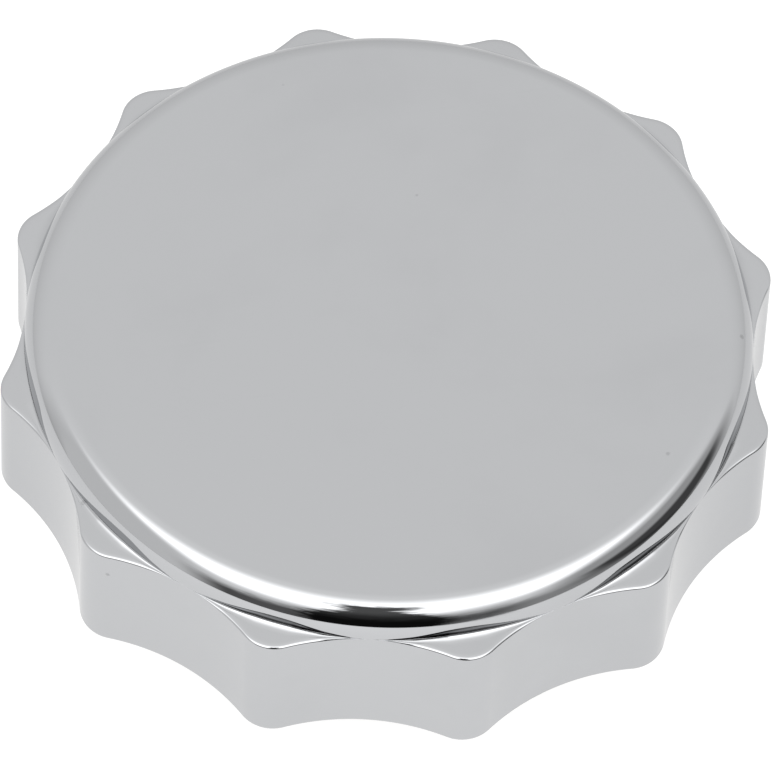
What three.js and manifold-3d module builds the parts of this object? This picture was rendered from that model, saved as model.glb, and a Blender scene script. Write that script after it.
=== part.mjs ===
// Deck fill cap: a lobed chrome hand cap that turns a threaded, vented closure through a ratchet.
// Millimetres, +Z up. The exported frame has its origin under the middle of the plug's foot; inside
// this file heights are measured up from the rim of the cap's skirt.
import * as THREE from "three";
import { mergeVertices } from "three/addons/utils/BufferGeometryUtils.js";
import Module from "manifold-3d";

const wasm = await Module();
wasm.setup();

// ---------------------------------------------------------------- driving dimensions
const GAP = 0.3; // clearance between neighbouring pieces
const BITE = 0.5; // how far a joined or cutting shape reaches past the face it meets

// cap shell
const LOBES = 12;
const TIP_RADIUS = 41; // centre to a lobe's tip, at the lobes' top
const TIP_ROUND = 3.8; // radius of a lobe's tip, in plan
const LOBE_DEPTH = 3; // lobe tip to the wall of the raised crown
const SCALLOP_STEP = 0.1; // the scallops' floors lie this far inside the crown's wall
const SKIRT_HEIGHT = 15.2; // rim to the lobes' flat tops
const CROWN_RISE = 3.4; // lobes' tops to the flat crown
const CROWN_ROUND = 3.2; // round between the crown's wall and its flat
const CROWN_THICKNESS = 2.9;
const EDGE_BREAK = 0.4; // chamfer on the lobes' edges
const DRAFT_DEG = 1.5; // the skirt widens towards its rim
const SKIRT_WALL = 3.4; // scallop floor to bore
const KEYS = 3;
const KEY_WIDTH = 4;
const KEY_DEPTH = 1.5;

// what the shell holds, from its ceiling down
const WASHER_THICKNESS = 0.8;
const WASHER_BORE = 17;
const RATCHET_HEIGHT = 3.3;
const RATCHET_WALL = 2.2; // behind the teeth
const TOOTH_DEPTH = 1.6;
const TEETH = 36;
const TOOTH_LEAN_DEG = 31; // steep faces lean from radial, so that a pawl swings clear of them
const PAWL_SPACE = 6.2; // tooth tips to the closure's hub
const PAWLS = 3;
const PAWL_NOSE_DEG = 17; // from a pawl's pin to its nose, about the cap's axis
const PAWL_EYE = 2.6; // radius of a pawl round its pin
const PAWL_NOSE = 1.6; // tooth tips in to the back of a pawl's nose
const PIN_RADIUS = 1.25;
const PIN_DEPTH = 1.7; // how deep a pin's hole goes into the flange
const LEAF_THICKNESS = 0.5;
const LEAF_SLOT_DEPTH = 1.4;
const LEAF_SLOT_DEG = 34; // from a pawl's pin to its spring's slot
const FLANGE_THICKNESS = 2.5;
const CLIP_THICKNESS = 1.2;
const CLIP_OVERLAP = 1.8; // retaining ring's hold under the flange
const CLIP_GROOVE = 1.2;
const CLIP_OPENING_DEG = 14;
const GASKET_THICKNESS = 2.7;

// threaded plug
const NECK_SPACE = 10; // bore to thread crest: room for the filler neck's wall
const THREAD_DEPTH = 1.6;
const THREAD_PITCH = 4.2;
const THREAD_ROOT = 2.6; // width of the ridge at its root
const THREAD_CREST = 1.1;
const THREAD_RELIEF = 2.2; // plain length under the gasket
const PLUG_DROP = 12; // rim of the skirt down to the plug's foot
const PLUG_CHAMFER = 1;
const HUB_WALL = 2.7;

// valves
const VALVE_RADIUS = 15.2;
const VALVE_THICKNESS = 1.6;
const FLOW_GAP = 1.8; // valve plate to the chamber's wall
const SEAT_HEIGHT = 9; // plug's foot to the valve seat
const SEAT_THICKNESS = 2;
const SEAT_HOLE = 9;
const SEAL_THICKNESS = 1;
const SEAL_WIDTH = 4.6;
const PORTS = 6;
const VALVE_PORT_RADIUS = 1.1;
const VALVE_PORT_CIRCLE = 5.1;
const STEM_RADIUS = 1.4;
const STEM_HEIGHT = 6.4; // above the valve plate
const VACUUM_RADIUS = 7.8;
const VACUUM_THICKNESS = 1.2;
const VACUUM_SEAL_RADIUS = 7.2;
const STEM_CLIP_THICKNESS = 0.8;
const STEM_CLIP_RADIUS = 4;
const STEM_NECK = 1; // radius of the stem in the clip's groove
const PRESSURE_COIL = 11.5;
const PRESSURE_WIRE = 0.7;
const PRESSURE_TURNS = 4;
const VACUUM_COIL = 3;
const VACUUM_WIRE = 0.35;
const VACUUM_TURNS = 4;

// valve cover, its screws, and the baffle in the plug's mouth
const COVER_THICKNESS = 1.5;
const COVER_SINK = 4.7; // hub's top down to the cover's seat
const COVER_PORT_RADIUS = 1.6;
const COVER_PORT_CIRCLE = 6.4;
const SPRING_BOSS_HEIGHT = 1.5;
const SPRING_BOSS_WALL = 1.6;
const SCREWS = 3;
const SCREW_RADIUS = 1.2;
const SCREW_LENGTH = 6;
const SCREW_HEAD_RADIUS = 2.1;
const SCREW_HEAD_HEIGHT = 1.4;
const BAFFLE_LEDGE = 1.4; // step that the baffle stops against
const BAFFLE_THICKNESS = 1;
const BAFFLE_HOLE_RADIUS = 1.5;
const BAFFLE_ROWS = [
  { circle: 5.5, holes: 6 },
  { circle: 10.5, holes: 12 },
];
const SNAP_LIP = 0.8; // plug's foot up to the snap ring's groove
const SNAP_THICKNESS = 0.8;
const SNAP_GROOVE = 1;
const SNAP_HOLD = 1.4; // snap ring's reach under the baffle
const SNAP_OPENING_DEG = 24;

// facets
const ROUND = 48;
const SHELL_ROUND = 72;
const SMALL_ROUND = 16;
const THREAD_ROUND = 24;

// ---------------------------------------------------------------- worked-out places
const rad = THREE.MathUtils.degToRad;
const wallRadius = TIP_RADIUS - LOBE_DEPTH;
const scallopFloor = wallRadius - SCALLOP_STEP;
const bore = scallopFloor - SKIRT_WALL;
const crownTop = SKIRT_HEIGHT + CROWN_RISE;
const ceiling = crownTop - CROWN_THICKNESS;
const keyway = bore + KEY_DEPTH;

const washerTop = ceiling - GAP;
const washerBottom = washerTop - WASHER_THICKNESS;
const hubTop = washerBottom - GAP;
const ratchetBottom = hubTop - RATCHET_HEIGHT;
const deck = ratchetBottom - GAP;
const flangeBottom = deck - FLANGE_THICKNESS;
const clipTop = flangeBottom - GAP;
const clipBottom = clipTop - CLIP_THICKNESS;
const gasketBottom = clipTop - GASKET_THICKNESS;

const innerFit = bore - GAP; // radius of what turns or sits in the shell's bore
const toothRoot = innerFit - RATCHET_WALL;
const toothTip = toothRoot - TOOTH_DEPTH;
const toothLean = (TOOTH_DEPTH * Math.tan(rad(TOOTH_LEAN_DEG))) / toothTip; // as an angle
const hubRadius = toothTip - PAWL_SPACE;
const pawlCircle = hubRadius + GAP + PAWL_EYE + 0.2;
const clipInner = innerFit - CLIP_OVERLAP;

const threadCrest = bore - NECK_SPACE;
const threadMinor = threadCrest - THREAD_DEPTH;
const foot = -PLUG_DROP;
const seat = foot + SEAT_HEIGHT;
const chamber = VALVE_RADIUS + FLOW_GAP;
const mouth = chamber + BAFFLE_LEDGE;

const snapGrooveBottom = foot + SNAP_LIP;
const snapGrooveTop = snapGrooveBottom + SNAP_THICKNESS + 2 * GAP;
const ledge = snapGrooveTop + BAFFLE_THICKNESS + 2 * GAP;

const coverRecess = hubRadius - HUB_WALL;
const coverSeat = hubTop - COVER_SINK;
const coverBottom = coverSeat + GAP;
const coverTop = coverBottom + COVER_THICKNESS;
const screwCircle = (chamber + coverRecess) / 2;

const sealBottom = seat + GAP;
const sealTop = sealBottom + SEAL_THICKNESS;
const valveBottom = sealTop + GAP;
const valveTop = valveBottom + VALVE_THICKNESS;
const vacuumTop = sealBottom - GAP;
const stemTop = valveTop + STEM_HEIGHT;
const clipHigh = stemTop - 2 * GAP;
const clipLow = clipHigh - STEM_CLIP_THICKNESS;

const turnAt = (count, i) => (2 * Math.PI * i) / count;

// ---------------------------------------------------------------- geometry helpers
const v2 = (x, y) => new THREE.Vector2(x, y);
const polar = (r, angle) => v2(r * Math.cos(angle), r * Math.sin(angle));

// A closed profile of [radius, height] points, anticlockwise, turned about Z.
function turned(profile, segments = ROUND) {
  const points = [...profile, profile[0]].map(([r, z]) => v2(r, z));
  return new THREE.LatheGeometry(points, segments).rotateX(Math.PI / 2);
}

// A profile that starts and ends on the axis.
function turnedSolid(profile, segments = ROUND) {
  const points = profile.map(([r, z]) => v2(r, z));
  return new THREE.LatheGeometry(points, segments).rotateX(Math.PI / 2);
}

const ring = (inner, outer, low, high, segments = ROUND) =>
  turned([[inner, low], [outer, low], [outer, high], [inner, high]], segments);

const disc = (radius, low, high, segments = SMALL_ROUND) =>
  turnedSolid([[0, low], [radius, low], [radius, high], [0, high]], segments);

// A plan outline pulled up from low to high; each arc in it gets twice curveSegments edges.
function raised(shape, low, high, curveSegments = ROUND / 2) {
  const options = { depth: high - low, bevelEnabled: false, curveSegments };
  return new THREE.ExtrudeGeometry(shape, options).translate(0, 0, low);
}

// A closed geometry as a solid that can be joined and cut.
function solid(geometry) {
  const bare = geometry.clone();
  bare.deleteAttribute("normal");
  bare.deleteAttribute("uv");
  const merged = mergeVertices(bare, 1e-4);
  const vertProperties = merged.attributes.position.array;
  const triVerts = new Uint32Array(merged.index.array);
  return new wasm.Manifold(new wasm.Mesh({ numProp: 3, vertProperties, triVerts }));
}

function geometryOf(body) {
  const mesh = body.getMesh();
  const geometry = new THREE.BufferGeometry();
  geometry.setAttribute("position", new THREE.BufferAttribute(mesh.vertProperties, 3));
  geometry.setIndex(new THREE.BufferAttribute(mesh.triVerts, 1));
  const flat = geometry.toNonIndexed();
  flat.computeVertexNormals();
  return flat;
}

const without = (body, tools) => tools.reduce((rest, tool) => rest.subtract(solid(tool)), body);

// Upright holes or pegs, evenly spaced on a circle.
const onCircle = (count, circle, makeOne, phase = 0) =>
  Array.from({ length: count }, (_, i) => {
    const at = polar(circle, turnAt(count, i) + phase);
    return makeOne().translate(at.x, at.y, 0);
  });

// A ring with an opening centred on the given angle.
function openRing(inner, outer, low, high, openingDeg, centreDeg = 0) {
  const start = rad(centreDeg + openingDeg / 2);
  const end = rad(centreDeg + 360 - openingDeg / 2);
  const shape = new THREE.Shape();
  shape.absarc(0, 0, outer, start, end, false);
  shape.absarc(0, 0, inner, end, start, true);
  return raised(shape, low, high);
}

class Helix extends THREE.Curve {
  constructor(radius, low, high, turns) {
    super();
    Object.assign(this, { radius, low, high, turns });
  }

  getPoint(t, target = new THREE.Vector3()) {
    const at = polar(this.radius, 2 * Math.PI * this.turns * t);
    return target.set(at.x, at.y, this.low + (this.high - this.low) * t);
  }
}

// A coil spring between two seats.
function coilSpring({ radius, wire, turns, low, high, steps, sides }) {
  const section = new THREE.Shape();
  section.absarc(0, 0, wire, 0, 2 * Math.PI, false);
  const extrudePath = new Helix(radius, low + wire, high - wire, turns);
  const options = { steps: Math.round(turns * steps), extrudePath, curveSegments: sides / 2 };
  return new THREE.ExtrudeGeometry(section, { ...options, bevelEnabled: false });
}

// A straight bar of trapezoid section wound round the plug as a right-hand thread.
function threadRidge(minor, crest, low, high) {
  const slope = (THREAD_ROOT - THREAD_CREST) / 2;
  const section = new THREE.Shape();
  section.moveTo(minor - BITE, 0);
  section.lineTo(crest, slope);
  section.lineTo(crest, slope + THREAD_CREST);
  section.lineTo(minor - BITE, THREAD_ROOT);
  const steps = Math.floor(((high - low - THREAD_ROOT) / THREAD_PITCH) * THREAD_ROUND);
  const turns = steps / THREAD_ROUND;
  const bar = new THREE.ExtrudeGeometry(section, { depth: 1, steps, bevelEnabled: false });
  const p = bar.attributes.position;
  for (let i = 0; i < p.count; i += 1) {
    const along = p.getZ(i) * turns;
    const at = polar(p.getX(i), -2 * Math.PI * along);
    p.setXYZ(i, at.x, at.y, high - THREAD_ROOT - THREAD_PITCH * along + p.getY(i));
  }
  return bar;
}

// ---------------------------------------------------------------- finishes
const finish = (color, roughness, metalness) =>
  new THREE.MeshStandardMaterial({ color, roughness, metalness });
const CHROME = finish("#c9cbcd", 0.08, 1);
const BRASS = finish("#b59a5b", 0.35, 1);
const STEEL = finish("#a9acb0", 0.3, 1);
const RUBBER = finish("#1b1b1c", 0.75, 0);
const NYLON = finish("#d8d6cc", 0.5, 0);

const inner = new THREE.Group();

function add(name, geometry, material) {
  const mesh = new THREE.Mesh(geometry, material);
  mesh.name = name;
  inner.add(mesh);
  return mesh;
}

// ---------------------------------------------------------------- cap shell
// Plan of the lobes: convex tips joined by concave scallops, tangent to each other.
function lobeOutline() {
  const half = Math.PI / LOBES;
  const tipCentre = TIP_RADIUS - TIP_ROUND;
  const reach = tipCentre * Math.cos(half);
  const scallop =
    (tipCentre ** 2 - 2 * reach * scallopFloor + scallopFloor ** 2 - TIP_ROUND ** 2) /
    (2 * (TIP_ROUND + reach - scallopFloor));
  const scallopCentre = scallopFloor + scallop;
  const centre = polar(scallopCentre, half);
  const lean = Math.atan2(centre.y, centre.x - tipCentre); // tangent point, seen from the tip's centre
  const back = lean + Math.PI; // and seen from the scallop's centre
  const points = [];
  for (let lobe = 0; lobe < LOBES; lobe += 1) {
    const turn = turnAt(LOBES, lobe);
    const spin = (x, y) => v2(x, y).rotateAround(v2(0, 0), turn);
    for (let i = 0; i <= 4; i += 1) {
      const a = lean * (i / 2 - 1);
      points.push(spin(tipCentre + TIP_ROUND * Math.cos(a), TIP_ROUND * Math.sin(a)));
    }
    const sweep = 2 * (Math.PI + half - back);
    for (let i = 1; i < 8; i += 1) {
      const a = back + (sweep * i) / 8;
      points.push(spin(centre.x + scallop * Math.cos(a), centre.y + scallop * Math.sin(a)));
    }
  }
  return new THREE.Shape(points);
}

// The lobed skirt, edges broken, widening towards the rim by its draft.
function lobedSkirt() {
  const skirt = new THREE.ExtrudeGeometry(lobeOutline(), {
    depth: SKIRT_HEIGHT - 2 * EDGE_BREAK,
    bevelThickness: EDGE_BREAK,
    bevelSize: EDGE_BREAK,
    bevelOffset: -EDGE_BREAK,
    bevelSegments: 1,
  }).translate(0, 0, EDGE_BREAK);
  const p = skirt.attributes.position;
  const flare = Math.tan(rad(DRAFT_DEG)) / TIP_RADIUS;
  for (let i = 0; i < p.count; i += 1) {
    const grow = 1 + flare * (SKIRT_HEIGHT - p.getZ(i));
    p.setXYZ(i, p.getX(i) * grow, p.getY(i) * grow, p.getZ(i));
  }
  return skirt;
}

function crownDisc() {
  const roundSteps = 5;
  const under = ceiling + (SKIRT_HEIGHT - ceiling) / 2;
  const profile = [[0, Math.min(under, SKIRT_HEIGHT - BITE)]];
  profile.push([scallopFloor - 1, profile[0][1]]);
  profile.push([scallopFloor - 1, SKIRT_HEIGHT], [wallRadius, SKIRT_HEIGHT]);
  for (let i = 0; i <= roundSteps; i += 1) {
    const at = polar(CROWN_ROUND, (Math.PI / 2) * (i / roundSteps));
    profile.push([wallRadius - CROWN_ROUND + at.x, crownTop - CROWN_ROUND + at.y]);
  }
  profile.push([0, crownTop]);
  return turnedSolid(profile, SHELL_ROUND);
}

function capShell() {
  const hollow = turnedSolid([
    [0, -BITE],
    [bore, -BITE],
    [bore, clipBottom - GAP],
    [bore + CLIP_GROOVE, clipBottom - GAP],
    [bore + CLIP_GROOVE, clipTop + GAP],
    [bore, clipTop + GAP],
    [bore, ceiling],
    [0, ceiling],
  ]);
  const keyways = Array.from({ length: KEYS }, (_, i) =>
    new THREE.BoxGeometry(keyway - bore + 2, KEY_WIDTH + 2 * GAP, ceiling + BITE)
      .translate((keyway + bore) / 2 - 1, 0, (ceiling - BITE) / 2)
      .rotateZ(turnAt(KEYS, i)),
  );
  const blank = solid(lobedSkirt()).add(solid(crownDisc()));
  add("cap_shell", geometryOf(without(blank, [hollow, ...keyways])), CHROME);
}

// ---------------------------------------------------------------- ratchet
// Saw teeth: anticlockwise from the root of each steep face the radius falls to the next tip.
function ratchetRing(toothPhase) {
  const half = Math.asin((KEY_WIDTH / 2) / innerFit);
  const lug = keyway - GAP;
  const shape = new THREE.Shape();
  for (let i = 0; i < KEYS; i += 1) {
    const at = turnAt(KEYS, i);
    shape.absarc(0, 0, innerFit, at + half, at + turnAt(KEYS, 1) - half, false);
    const next = v2(lug, -KEY_WIDTH / 2).rotateAround(v2(0, 0), at + turnAt(KEYS, 1));
    const last = v2(lug, KEY_WIDTH / 2).rotateAround(v2(0, 0), at + turnAt(KEYS, 1));
    shape.lineTo(next.x, next.y);
    shape.lineTo(last.x, last.y);
  }
  const teeth = [];
  for (let i = 0; i < TEETH; i += 1) {
    const at = toothPhase + turnAt(TEETH, i);
    const ramp = turnAt(TEETH, 1) - toothLean;
    teeth.push(polar(toothRoot, at), polar(toothRoot - TOOTH_DEPTH / 2, at + ramp / 2));
    teeth.push(polar(toothTip, at + ramp));
  }
  shape.holes.push(new THREE.Path(teeth));
  add("ratchet_ring", raised(shape, ratchetBottom, hubTop, 8), STEEL);
}

// One pawl: an eye on its pin and an arm running clockwise to a square nose against a steep face.
function pawlOutline() {
  const nose = rad(-PAWL_NOSE_DEG);
  const arm = [
    polar(toothRoot - GAP, nose),
    polar(toothRoot - GAP - 0.9, nose + rad(4)),
    polar(toothTip - GAP - 0.5, nose + rad(9)),
  ];
  const shape = new THREE.Shape();
  const inside = polar(toothTip - PAWL_NOSE, nose - toothLean);
  const lip = polar(toothTip - GAP, nose - toothLean);
  shape.moveTo(inside.x, inside.y);
  shape.lineTo(lip.x, lip.y);
  arm.forEach((at) => shape.lineTo(at.x, at.y));
  shape.absarc(pawlCircle, 0, PAWL_EYE, rad(-30), rad(205), false);
  const eye = new THREE.Path();
  eye.absarc(pawlCircle, 0, PIN_RADIUS + GAP, 0, 2 * Math.PI, true);
  shape.holes.push(eye);
  return shape;
}

// A leaf: a tab in the hub's slot, then an arm that springs outwards to the back of the pawl.
function leafOutline() {
  const slot = rad(-LEAF_SLOT_DEG);
  const nose = rad(-PAWL_NOSE_DEG) - toothLean;
  const half = LEAF_THICKNESS / 2;
  const tab = polar(hubRadius - LEAF_SLOT_DEPTH + GAP, slot);
  const bend = polar(hubRadius + 0.8, slot);
  const end = polar(toothTip - PAWL_NOSE - LEAF_THICKNESS, nose + rad(0.5));
  const knee = polar(hubRadius + 1.1, slot + rad(6));
  const arm = new THREE.QuadraticBezierCurve(bend, knee, end).getPoints(6);
  const line = [tab, ...arm];
  const side = (sign) =>
    line.map((at, i) => {
      const before = line[Math.max(i - 1, 0)];
      const after = line[Math.min(i + 1, line.length - 1)];
      const along = after.clone().sub(before).normalize();
      return v2(at.x - sign * half * along.y, at.y + sign * half * along.x);
    });
  return new THREE.Shape([...side(-1), ...side(1).reverse()]);
}

function pawlSet(pawlTurn) {
  const pin = disc(PIN_RADIUS, deck - PIN_DEPTH + GAP, hubTop);
  for (let i = 0; i < PAWLS; i += 1) {
    const turn = pawlTurn + turnAt(PAWLS, i);
    const at = polar(pawlCircle, turn);
    add(`pawl_${i + 1}`, raised(pawlOutline(), ratchetBottom, hubTop, 6).rotateZ(turn), STEEL);
    add(`pawl_pin_${i + 1}`, pin.clone().translate(at.x, at.y, 0), STEEL);
    const leaf = raised(leafOutline(), ratchetBottom + GAP, hubTop - GAP);
    add(`pawl_spring_${i + 1}`, leaf.rotateZ(turn), STEEL);
  }
}

// ---------------------------------------------------------------- closure
function closureBody(pawlTurn) {
  const blank = turned([
    [mouth, foot],
    [threadMinor - PLUG_CHAMFER, foot],
    [threadMinor, foot + PLUG_CHAMFER],
    [threadMinor, flangeBottom],
    [innerFit, flangeBottom],
    [innerFit, deck],
    [hubRadius, deck],
    [hubRadius, hubTop],
    [coverRecess, hubTop],
    [coverRecess, coverSeat],
    [chamber, coverSeat],
    [chamber, seat],
    [SEAT_HOLE, seat],
    [SEAT_HOLE, seat - SEAT_THICKNESS],
    [chamber, seat - SEAT_THICKNESS],
    [chamber, ledge],
    [mouth, ledge],
    [mouth, snapGrooveTop],
    [mouth + SNAP_GROOVE, snapGrooveTop],
    [mouth + SNAP_GROOVE, snapGrooveBottom],
    [mouth, snapGrooveBottom],
  ]);
  const ridge = threadRidge(
    threadMinor,
    threadCrest,
    foot + PLUG_CHAMFER + GAP,
    gasketBottom - THREAD_RELIEF,
  );
  const pinHole = () => disc(PIN_RADIUS + GAP, deck - PIN_DEPTH, deck + BITE);
  const screwHole = () =>
    disc(SCREW_RADIUS + GAP, coverTop - SCREW_LENGTH - GAP, coverSeat + BITE, SMALL_ROUND);
  const slotWidth = LEAF_THICKNESS + 2 * GAP;
  const slots = Array.from({ length: PAWLS }, (_, i) =>
    new THREE.BoxGeometry(LEAF_SLOT_DEPTH + 1, slotWidth, RATCHET_HEIGHT + BITE)
      .translate(hubRadius - LEAF_SLOT_DEPTH + (LEAF_SLOT_DEPTH + 1) / 2, 0, 0)
      .translate(0, 0, ratchetBottom + (RATCHET_HEIGHT + BITE) / 2)
      .rotateZ(pawlTurn + turnAt(PAWLS, i) - rad(LEAF_SLOT_DEG)),
  );
  const cuts = [
    ...onCircle(PAWLS, pawlCircle, pinHole, pawlTurn),
    ...onCircle(SCREWS, screwCircle, screwHole),
    ...slots,
  ];
  add("closure_body", geometryOf(without(solid(blank).add(solid(ridge)), cuts)), BRASS);
}

function closureFittings() {
  add("neck_gasket", ring(threadMinor + GAP, clipInner - 2 * GAP, gasketBottom, clipTop), RUBBER);
  const clipOuter = bore + CLIP_GROOVE - GAP;
  const clip = openRing(clipInner, clipOuter, clipBottom, clipTop, CLIP_OPENING_DEG, 90);
  add("retaining_ring", clip, STEEL);
  add("thrust_washer", ring(WASHER_BORE, innerFit, washerBottom, washerTop), NYLON);
}

// ---------------------------------------------------------------- valves
function valveCover() {
  const springInside = PRESSURE_COIL - PRESSURE_WIRE - GAP;
  const boss = ring(
    springInside - SPRING_BOSS_WALL,
    springInside,
    coverBottom - SPRING_BOSS_HEIGHT,
    coverBottom + BITE,
  );
  const holes = [
    ...onCircle(PORTS, COVER_PORT_CIRCLE, () =>
      disc(COVER_PORT_RADIUS, coverBottom - BITE, coverTop + BITE, 12),
    ),
    ...onCircle(SCREWS, screwCircle, () =>
      disc(SCREW_RADIUS + GAP, coverBottom - BITE, coverTop + BITE),
    ),
  ];
  const plate = disc(coverRecess - GAP, coverBottom, coverTop, ROUND);
  add("valve_cover", geometryOf(without(solid(plate).add(solid(boss)), holes)), BRASS);
  const head = coverTop + GAP;
  const screw = turnedSolid(
    [
      [0, coverTop - SCREW_LENGTH],
      [SCREW_RADIUS, coverTop - SCREW_LENGTH],
      [SCREW_RADIUS, head],
      [SCREW_HEAD_RADIUS, head],
      [SCREW_HEAD_RADIUS, head + SCREW_HEAD_HEIGHT * 0.6],
      [SCREW_HEAD_RADIUS * 0.7, head + SCREW_HEAD_HEIGHT],
      [0, head + SCREW_HEAD_HEIGHT],
    ],
    SMALL_ROUND,
  );
  onCircle(SCREWS, screwCircle, () => screw.clone()).forEach((one, i) =>
    add(`cover_screw_${i + 1}`, one, STEEL),
  );
}

function pressureValve() {
  const holes = onCircle(PORTS, VALVE_PORT_CIRCLE, () =>
    disc(VALVE_PORT_RADIUS, valveBottom - BITE, valveTop + BITE, 12),
  );
  const plate = ring(STEM_RADIUS + GAP, VALVE_RADIUS, valveBottom, valveTop);
  add("pressure_valve", geometryOf(without(solid(plate), holes)), BRASS);
  const sealInner = SEAT_HOLE + 2 * GAP;
  add("pressure_seal", ring(sealInner, sealInner + SEAL_WIDTH, sealBottom, sealTop), RUBBER);
  const spring = coilSpring({
    radius: PRESSURE_COIL,
    wire: PRESSURE_WIRE,
    turns: PRESSURE_TURNS,
    low: valveTop + GAP,
    high: coverBottom - GAP,
    steps: 16,
    sides: 6,
  });
  add("pressure_spring", spring, STEEL);
}

function vacuumValve() {
  const disk = turnedSolid(
    [
      [0, vacuumTop - VACUUM_THICKNESS],
      [VACUUM_RADIUS, vacuumTop - VACUUM_THICKNESS],
      [VACUUM_RADIUS, vacuumTop],
      [STEM_RADIUS, vacuumTop],
      [STEM_RADIUS, clipLow - GAP],
      [STEM_NECK, clipLow - GAP],
      [STEM_NECK, clipHigh + GAP],
      [STEM_RADIUS, clipHigh + GAP],
      [STEM_RADIUS, stemTop + GAP],
      [0, stemTop + GAP],
    ],
    24,
  );
  add("vacuum_valve", disk, BRASS);
  const seal = ring(STEM_RADIUS + 2 * GAP, VACUUM_SEAL_RADIUS, sealBottom, sealTop, 24);
  add("vacuum_seal", seal, RUBBER);
  const grip = STEM_NECK + GAP;
  add("stem_clip", openRing(grip, STEM_CLIP_RADIUS, clipLow, clipHigh, 50), STEEL);
  const spring = coilSpring({
    radius: VACUUM_COIL,
    wire: VACUUM_WIRE,
    turns: VACUUM_TURNS,
    low: valveTop + GAP,
    high: clipLow - GAP,
    steps: 10,
    sides: 6,
  });
  add("vacuum_spring", spring, STEEL);
}

function splashBaffle() {
  const low = ledge - GAP - BAFFLE_THICKNESS;
  const plate = solid(disc(mouth - GAP, low, ledge - GAP, ROUND));
  const holes = BAFFLE_ROWS.flatMap(({ circle, holes: count }) =>
    onCircle(count, circle, () => disc(BAFFLE_HOLE_RADIUS, low - BITE, ledge + BITE, 10)),
  );
  add("splash_baffle", geometryOf(without(plate, holes)), STEEL);
  const snapTop = snapGrooveTop - GAP;
  const outer = mouth + SNAP_GROOVE - GAP;
  const snap = openRing(mouth - SNAP_HOLD, outer, snapTop - SNAP_THICKNESS, snapTop, SNAP_OPENING_DEG);
  add("baffle_ring", snap, STEEL);
}

// ---------------------------------------------------------------- assembly
const pawlTurn = rad(45);
const toothPhase = pawlTurn - rad(PAWL_NOSE_DEG) - GAP / toothRoot;
capShell();
closureFittings();
ratchetRing(toothPhase);
closureBody(pawlTurn);
pawlSet(pawlTurn);
valveCover();
pressureValve();
vacuumValve();
splashBaffle();

inner.position.z = -foot;
const deckFillCap = new THREE.Group();
deckFillCap.add(inner);

export default deckFillCap;
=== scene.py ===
"""A hand-turned, vented deck fill cap: chrome shell, ratchet, threaded closure, valves and baffle."""

from math import asin, atan2, cos, hypot, pi, radians, sin, sqrt, tan

import bmesh
import bpy
from mathutils import Matrix, Vector
from mathutils.kdtree import KDTree


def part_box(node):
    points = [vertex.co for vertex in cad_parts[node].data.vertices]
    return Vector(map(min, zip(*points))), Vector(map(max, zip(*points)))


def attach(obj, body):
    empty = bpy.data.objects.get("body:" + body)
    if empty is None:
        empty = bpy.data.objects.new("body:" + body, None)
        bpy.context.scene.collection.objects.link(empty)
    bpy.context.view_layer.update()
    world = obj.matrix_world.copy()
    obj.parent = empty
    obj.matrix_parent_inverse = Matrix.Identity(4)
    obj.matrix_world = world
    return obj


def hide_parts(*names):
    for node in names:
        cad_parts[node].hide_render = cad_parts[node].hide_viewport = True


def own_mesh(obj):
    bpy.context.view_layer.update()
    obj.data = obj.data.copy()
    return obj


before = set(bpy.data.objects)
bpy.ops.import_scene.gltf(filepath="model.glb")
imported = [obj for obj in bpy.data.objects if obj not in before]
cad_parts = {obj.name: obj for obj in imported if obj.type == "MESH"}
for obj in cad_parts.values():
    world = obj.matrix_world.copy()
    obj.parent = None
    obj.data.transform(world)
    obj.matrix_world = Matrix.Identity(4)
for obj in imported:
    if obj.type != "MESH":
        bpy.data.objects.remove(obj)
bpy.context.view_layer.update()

bl_info = {
    "name": "Deck fill cap",
    "version": (1, 0, 0),
    "blender": (4, 5, 0),
    "location": "View3D > Sidebar > Fill Cap",
    "description": "Builds a lobed, chromed deck fill cap with its ratchet, valves and threaded closure",
    "category": "Object",
}

MM = 0.001
WELD = 2e-6  # vertices closer than this are one
TURN = 2 * pi
GAP = 0.3 * MM  # clearance between neighbouring pieces
FAIR = radians(32)  # edges that turn further than this stay sharp on most pieces
CRISP = radians(11)  # and this on drilled, flat ones
DRAFT = radians(1.5)  # lean of the skirt's wall
TOOTH_LEAN = radians(31)  # lean of the steep faces of teeth and noses, from radial
LEAF_SLOT = radians(34)  # from a leaf spring's slot in the hub to its pawl's pin
HUB = 24.2 * MM  # radius of the closure's hub
SCREW_CIRCLE = 19.25 * MM  # axis to the cover's screws


def size(name, value, text, unit="LENGTH", low=0.0, high=1.0):
    """A length a user would change, in metres."""
    return bpy.props.FloatProperty(
        name=name, description=text, default=value, min=low, max=high, precision=5, unit=unit
    )


def angle_size(name, degrees, text):
    """An angle a user would change, given in degrees."""
    return bpy.props.FloatProperty(name=name, description=text, default=radians(degrees), subtype="ANGLE")


def count_of(name, value, text, least):
    """A number of like parts a user would change."""
    return bpy.props.IntProperty(name=name, description=text, default=value, min=least)


def tint(name, value, text):
    """A base colour a user would change."""
    return bpy.props.FloatVectorProperty(
        name=name, description=text, default=value, size=3, min=0, max=1, subtype="COLOR"
    )


def reach(node):
    """A node's greatest radius about the cap's axis, and its lowest and highest z."""
    low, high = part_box(node)
    return max(abs(low[0]), abs(high[0]), abs(low[1]), abs(high[1])), low[2], high[2]


_, RIM_Z, TOP_Z = reach("cap_shell")


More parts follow.
